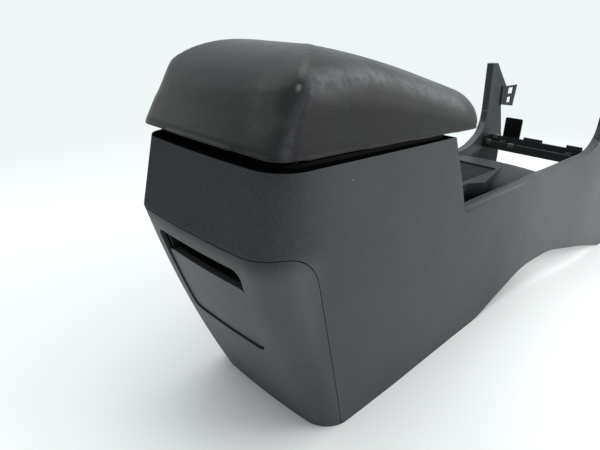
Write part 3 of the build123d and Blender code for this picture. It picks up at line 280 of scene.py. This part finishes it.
def vinyl(name, base):
    """Soft vinyl over foam: leather grain, satin sheen, rubbed areas, painted highlights and stretched
    creases.
    """
    g = Graph(name)
    cloud = g.noise(9.0, 4.0)
    tone = g.blend(g.spread(cloud, 0.3, 0.7), scaled(base, 0.8), scaled(base, 1.2))
    # The side face at +X is warmer and a little paler where arms rub it
    side = g.spread(g.axis(0), 0.055, 0.1)
    rub = g.math("MULTIPLY", side, g.spread(g.noise(16.0, 5.0, 0.65), 0.35, 0.7, 0.2, 1.0))
    tone = g.blend(g.math("MULTIPLY", rub, 0.55), tone, (0.026, 0.023, 0.023))
    # Painted highlights: ridge of the rear corner, shoulder, a glow on the rear face, a glint on the ridge
    patchy = g.spread(g.noise(110.0, 5.0, 0.7), 0.35, 0.62, 0.45, 1.0)
    broad = g.spread(g.noise(24.0, 4.0, 0.6), 0.3, 0.7, 0.6, 1.0)
    for points, width, strength, highlight_tone in vinyl_painted_highlights:
        mask = g.math("MULTIPLY", near_line(g, points, width), g.math("MULTIPLY", patchy, broad))
        tone = g.blend(g.math("MULTIPLY", mask, strength), tone, highlight_tone)
    g.link(tone, g.shader.inputs["Base Color"])
    uneven = g.spread(g.noise(13.0, 5.0, 0.62), 0.3, 0.75, 0.34, 0.46)
    g.link(uneven, g.shader.inputs["Roughness"])
    # The upper faces are polished by elbows, the upright ones stay dull
    g.link(g.spread(g.normal(2), 0.25, 0.85, 0.1, 0.36), g.shader.inputs["Specular IOR Level"])
    warped = g.add("ShaderNodeMapping", {"Vector": g.place, "Scale": (1.0, 0.8, 1.0)}).outputs[0]
    grain = g.cells(640.0, warped)
    pores = g.noise(1500.0, 2.0)
    wrinkles = g.noise(70.0, 4.0, 0.6)
    height = g.math("ADD", grain, g.math("MULTIPLY", pores, 0.35))
    height = g.math("ADD", height, g.math("MULTIPLY", wrinkles, 1.2))
    g.bump(height, 0.7, 0.00014)
    return g.material


def rubber(name, base, rough=0.75, grain=900.0):
    """Matt rubber or soft mat with fine speckle."""
    g = Graph(name)
    cloud = g.noise(14.0, 4.0)
    tone = g.blend(g.spread(cloud, 0.3, 0.7), scaled(base, 0.85), scaled(base, 1.15))
    dust = g.spread(g.noise(160.0, 4.0, 0.7), 0.6, 0.78, 0.0, 0.3)
    tone = g.blend(dust, tone, scaled(base, 1.5, 0.02))
    g.link(tone, g.shader.inputs["Base Color"])
    g.link(g.spread(g.noise(30.0), 0.3, 0.7, rough - 0.08, rough + 0.08), g.shader.inputs["Roughness"])
    g.shader.inputs["Specular IOR Level"].default_value = 0.06
    g.bump(g.noise(grain, 3.0), 0.5, 0.0001)
    return g.material


def plated(name, base, rough=0.34):
    """Zinc-plated steel: metal with rolled streaks, dull spots and brighter edges."""
    g = Graph(name)
    streaks = g.add("ShaderNodeMapping", {"Vector": g.place, "Scale": (1.0, 18.0, 1.0)}).outputs[0]
    cloud = g.noise(60.0, 5.0, 0.6, streaks)
    tone = g.blend(g.spread(cloud, 0.3, 0.7), scaled(base, 0.75), base)
    edge_mask, soft_normal = g.edges(0.0003)
    tone = g.blend(g.math("MULTIPLY", edge_mask, 0.4), tone, (0.85, 0.84, 0.8))
    g.link(tone, g.shader.inputs["Base Color"])
    g.shader.inputs["Metallic"].default_value = 1.0
    g.link(g.spread(g.noise(90.0, 4.0), 0.3, 0.7, rough - 0.08, rough + 0.14), g.shader.inputs["Roughness"])
    g.bump(g.noise(700.0, 3.0, 0.6, streaks), 0.3, 0.00004, soft_normal)
    return g.material


def painted_inside_shade(g):
    """Painted shade on the low inner side of the walls at the front, and on the turned-in rim under the
    lid.
    """
    facing_in = g.math("LESS_THAN", g.math("MULTIPLY", g.normal(0), g.axis(0)), 0.0)
    low = g.spread(g.axis(2), 0.184, 0.168, 0.0, 0.75)
    ahead = g.math("GREATER_THAN", g.axis(1), station(609.0))
    inside = g.math("MULTIPLY", g.math("MULTIPLY", facing_in, low), ahead)
    behind = g.math("LESS_THAN", g.axis(1), station(254.0))
    rim = g.math("MULTIPLY", g.spread(g.normal(2), 0.75, 0.95), behind)
    rim = g.math("MULTIPLY", rim, g.math("GREATER_THAN", g.axis(2), 0.292))
    return g.math("MAXIMUM", inside, rim)


def lip_shade(g):
    """Painted shade where the bin's lip lies under the lid."""
    return g.spread(g.axis(2), 0.27, 0.29, 0.0, 0.75)


def painted_well_shade(g):
    """Painted shade, darker towards the bottom of the well."""
    return g.spread(g.axis(2), 0.186, 0.165, 0.0, 0.85)


side_marks = (
    ((0.098, station(84.0), 0.2825), (0.02, 0.0016, 0.0006), 0.8),
    ((0.103, station(200.5), 0.2175), (0.02, 0.0012, 0.0005), 0.5),
    ((0.103, station(207.0), 0.2165), (0.02, 0.0014, 0.0005), 0.4),
    # Painted highlight along the edge of the low rim, on both sides
    ((0.0880, station(470.0), 0.1950), (0.0035, 0.16, 0.0030), 0.3),
    ((-0.0880, station(470.0), 0.1950), (0.0035, 0.16, 0.0030), 0.3),
)
looks = {
    "charcoal_plastic": moulded(
        "charcoal_plastic_look", GREY, 0.5, marks=side_marks, shade=painted_inside_shade
    ),
    "inner_plastic": moulded("inner_plastic_look", (0.018, 0.019, 0.021), 0.55, shade=lip_shade),
    "deck_plastic": moulded(
        "deck_plastic_look", (0.036, 0.038, 0.041), 0.42, shade=painted_well_shade, gloss=0.35
    ),
    "frame_plastic": moulded(
        "frame_plastic_look", (0.026, 0.028, 0.031), 0.42, 700.0, 0.00003, 0.35, 0.0006
    ),
    "black_plastic": moulded(
        "black_plastic_look", (0.004, 0.0045, 0.005), 0.38, 500.0, 0.00002, 0.3, 0.0004
    ),
    "tray_grey": rubber("tray_grey_look", (0.022, 0.023, 0.025)),
    "mat_rubber": rubber("mat_rubber_look", (0.028, 0.028, 0.029)),
    "vinyl": vinyl("vinyl_look", (0.014, 0.015, 0.016)),
    "zinc_steel": plated("zinc_steel_look", (0.62, 0.61, 0.58)),
}
slots = {entry["node"]: entry["material_slot"] for entry in frame["record"]["subparts"]}
for name, obj in frame["nodes"].items():
    look = looks[slots[name]]
    if not obj.material_slots:
        obj.data.materials.append(look)
    for slot in obj.material_slots:
        slot.material = look


def copy_mesh(name, source):
    """A new object with its own copy of a node's mesh."""
    obj = bpy.data.objects.new(name, source.data.copy())
    bpy.context.scene.collection.objects.link(obj)
    return obj


def apply_modifiers(obj):
    """Bakes an object's modifiers into its mesh."""
    graph = bpy.context.evaluated_depsgraph_get()
    mesh = bpy.data.meshes.new_from_object(obj.evaluated_get(graph), depsgraph=graph)
    old = obj.data
    obj.modifiers.clear()
    obj.data = mesh
    bpy.data.meshes.remove(old)


def pinch(points):
    """How far the cover is drawn in or pushed out by the listed folds, in metres along its normal.

    Each fold is (ends, width, depth): a line between two points and a soft profile across it."""
    folds = [
        # Ridge of the rear right corner and the hollow behind it
        (((0.1035, station(12), 0.314), (0.0965, station(33), 0.358)), 0.0050, 0.0006),
        (((0.0890, station(14), 0.342), (0.0880, station(25), 0.364)), 0.0075, -0.0012),
        (((0.0965, station(33), 0.358), (0.0900, station(46), 0.372)), 0.0045, 0.0006),
        # Short stretch marks in front of the corner's head
        (((0.0940, station(58), 0.3715), (0.0955, station(69), 0.356)), 0.0026, -0.0004),
        (((0.0945, station(68), 0.3700), (0.0965, station(76), 0.345)), 0.0030, -0.0003),
        (((-0.0965, station(33), 0.358), (-0.0900, station(46), 0.372)), 0.0045, 0.0005),
        (((-0.0890, station(14), 0.342), (-0.0880, station(25), 0.364)), 0.0075, -0.0010),
    ]
    total = np.zeros(len(points))
    for (first, last), width, depth in folds:
        first = np.array(first)
        along = np.array(last) - first
        part = np.clip((points - first) @ along / (along @ along), 0.0, 1.0)
        away = np.linalg.norm(points - first - part[:, None] * along, axis=1)
        total += depth * np.exp(-((away / width) ** 2))
    return total


def make_pad():
    """The armrest's padded cover: foam swollen under vinyl, on the lid's own solid."""
    pad = copy_mesh("lid_cover", frame["nodes"]["lid_pad"])
    remesh = pad.modifiers.new("remesh", "REMESH")
    remesh.mode = "VOXEL"
    remesh.voxel_size = VOXEL
    apply_modifiers(pad)
    smooth = pad.modifiers.new("smooth", "CORRECTIVE_SMOOTH")
    smooth.iterations = SMOOTH_PASSES
    smooth.use_only_smooth = True
    apply_modifiers(pad)
    count = len(pad.data.vertices)
    start = np.empty(count * 3)
    pad.data.vertices.foreach_get("co", start)
    start = start.reshape(-1, 3)
    # The rim and the underside keep their place while the cover swells
    floor = LID_LINE - LID_FALL * (start[:, 1] - station(0))
    free = np.clip((start[:, 2] - floor - HELD_RIM) / FREE_OVER, 0.0, 1.0)
    ends = start
    held = pad.vertex_groups.new(name="held")
    for index in np.nonzero(free < 1.0)[0]:
        held.add([int(index)], float(1.0 - free[index]), "REPLACE")
    cloth = pad.modifiers.new("cloth", "CLOTH")
    cloth.settings.quality = 4
    cloth.settings.mass = 0.3
    cloth.settings.tension_stiffness = 25.0
    cloth.settings.compression_stiffness = 25.0
    cloth.settings.shear_stiffness = 8.0
    cloth.settings.bending_stiffness = 2.0
    cloth.settings.use_pressure = True
    cloth.settings.uniform_pressure_force = 1.5
    cloth.settings.effector_weights.gravity = 0.0
    cloth.settings.vertex_group_mass = "held"
    cloth.point_cache.frame_start = 1
    cloth.point_cache.frame_end = LAST_FRAME
    scene = bpy.context.scene
    for step in range(1, LAST_FRAME + 1):
        scene.frame_set(step)
    apply_modifiers(pad)
    scene.frame_set(1)
    ends = np.empty(count * 3)
    pad.data.vertices.foreach_get("co", ends)
    ends = ends.reshape(-1, 3)
    moves = ends - start
    length = np.linalg.norm(moves, axis=1)
    scale = np.where(length > SWELL_CAP, SWELL_CAP / np.maximum(length, 1e-9), 1.0)
    ends = start + moves * scale[:, None]
    print("pad: largest swell", round(float(length.max()) * 1000, 2), "mm")
    # The turned-under edge: a shallow line pressed in above the rim all round
    normals = np.empty(count * 3)
    pad.data.vertices.foreach_get("normal", normals)
    normals = normals.reshape(-1, 3)
    outside = np.clip((np.abs(start[:, 0]) - 0.094) / 0.003, 0.0, 1.0)
    outside = np.maximum(outside, np.clip((station(1) - start[:, 1]) / 0.002, 0.0, 1.0))
    outside = np.maximum(outside, np.clip((start[:, 1] - station(284)) / 0.004, 0.0, 1.0))
    above = (start[:, 2] - floor) * 1000.0
    line = np.exp(-(((above - FOLD_LINE_HEIGHT_MM) / FOLD_LINE_WIDTH_MM) ** 2))
    line = -FOLD_LINE_DEPTH * line * outside
    swell = pinch(start) * free + line
    ends = ends + normals * swell[:, None]
    pad.data.vertices.foreach_set("co", ends.ravel())
    pad.data.update()
    for polygon in pad.data.polygons:
        polygon.use_smooth = True
    pad.data.materials.clear()
    pad.data.materials.append(looks["vinyl"])
    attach(pad, "lid")
    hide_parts("lid_pad")


make_pad()


# Floor, world and lamps
def make_floor():
    mesh = bpy.data.meshes.new("floor")
    signs = ((-1, -1), (1, -1), (1, 1), (-1, 1))
    mesh.from_pydata([(FLOOR_HALF * x, FLOOR_HALF * y, 0) for x, y in signs], [], [(0, 1, 2, 3)])
    floor = bpy.data.objects.new("floor", mesh)
    bpy.context.scene.collection.objects.link(floor)
    g = Graph("floor_look")
    g.shader.inputs["Base Color"].default_value = (0.86, 0.875, 0.865, 1.0)
    g.link(g.spread(g.noise(3.0), 0.3, 0.7, 0.62, 0.78), g.shader.inputs["Roughness"])
    glow = g.add("ShaderNodeEmission", {"Color": BACK_TONE + (1.0,), "Strength": 1.0})
    reach = g.add("ShaderNodeVectorMath", {0: g.place}, operation="LENGTH").outputs["Value"]
    far = g.spread(reach, 0.7, 2.2)
    path = g.add("ShaderNodeLightPath")
    seen = g.math("MAXIMUM", path.outputs["Is Camera Ray"], path.outputs["Is Glossy Ray"])
    seen = g.math("MAXIMUM", seen, path.outputs["Is Transmission Ray"])
    mix = g.add(
        "ShaderNodeMixShader",
        {0: g.math("MULTIPLY", far, seen), 1: g.shader.outputs[0], 2: glow.outputs[0]},
    )
    g.link(mix.outputs[0], g.out.inputs["Surface"])
    mesh.materials.append(g.material)


def make_world():
    world = bpy.data.worlds.new("studio")
    bpy.context.scene.world = world
    world.use_nodes = True
    tree = world.node_tree
    back = tree.nodes["Background"]
    back.inputs["Color"].default_value = (0.94, 0.98, 1.0, 1.0)
    # Soft light, strongest from straight above
    upward = tree.nodes.new("ShaderNodeSeparateXYZ")
    tree.links.new(tree.nodes.new("ShaderNodeTexCoord").outputs["Generated"], upward.inputs[0])
    sky = tree.nodes.new("ShaderNodeMapRange")
    sky.interpolation_type = "SMOOTHSTEP"
    limits = {"From Min": 0.1, "From Max": 1.0, "To Min": 0.06, "To Max": 1.3}
    for socket, value in limits.items():
        sky.inputs[socket].default_value = value
    tree.links.new(upward.outputs["Z"], sky.inputs["Value"])
    tree.links.new(sky.outputs["Result"], back.inputs["Strength"])
    white = tree.nodes.new("ShaderNodeBackground")
    white.inputs["Color"].default_value = BACK_TONE + (1.0,)
    white.inputs["Strength"].default_value = 1.0
    path = tree.nodes.new("ShaderNodeLightPath")
    either = tree.nodes.new("ShaderNodeMath")
    either.operation = "MAXIMUM"
    third = tree.nodes.new("ShaderNodeMath")
    third.operation = "MAXIMUM"
    mix = tree.nodes.new("ShaderNodeMixShader")
    tree.links.new(path.outputs["Is Camera Ray"], either.inputs[0])
    tree.links.new(path.outputs["Is Glossy Ray"], either.inputs[1])
    tree.links.new(either.outputs[0], third.inputs[0])
    tree.links.new(path.outputs["Is Transmission Ray"], third.inputs[1])
    tree.links.new(third.outputs[0], mix.inputs[0])
    tree.links.new(back.outputs[0], mix.inputs[1])
    tree.links.new(white.outputs[0], mix.inputs[2])
    tree.links.new(mix.outputs[0], tree.nodes["World Output"].inputs["Surface"])


def area_lamp(name, place, target, size, power, colour):
    data = bpy.data.lights.new(name, "AREA")
    data.shape = "RECTANGLE"
    data.size, data.size_y = size
    data.energy = power
    data.color = colour
    lamp = bpy.data.objects.new(name, data)
    lamp.location = place
    lamp.rotation_euler = (Vector(target) - Vector(place)).to_track_quat("-Z", "Y").to_euler()
    bpy.context.scene.collection.objects.link(lamp)


make_floor()
make_world()
area_lamp("left", (-0.9, -0.72, 0.5), (0.0, -0.3, 0.22), (0.5, 0.5), 0.6, (1.0, 0.99, 0.96))
area_lamp("front", (1.3, 0.9, 0.8), (0.0, 0.3, 0.15), (1.0, 0.8), 15.0, (1.0, 1.0, 1.0))
area_lamp("top", (-0.1, 0.1, 2.3), (0.0, 0.0, 0.1), (1.8, 1.8), 17.0, (1.0, 1.0, 1.0))

bpy.context.scene.view_settings.view_transform = "Standard"
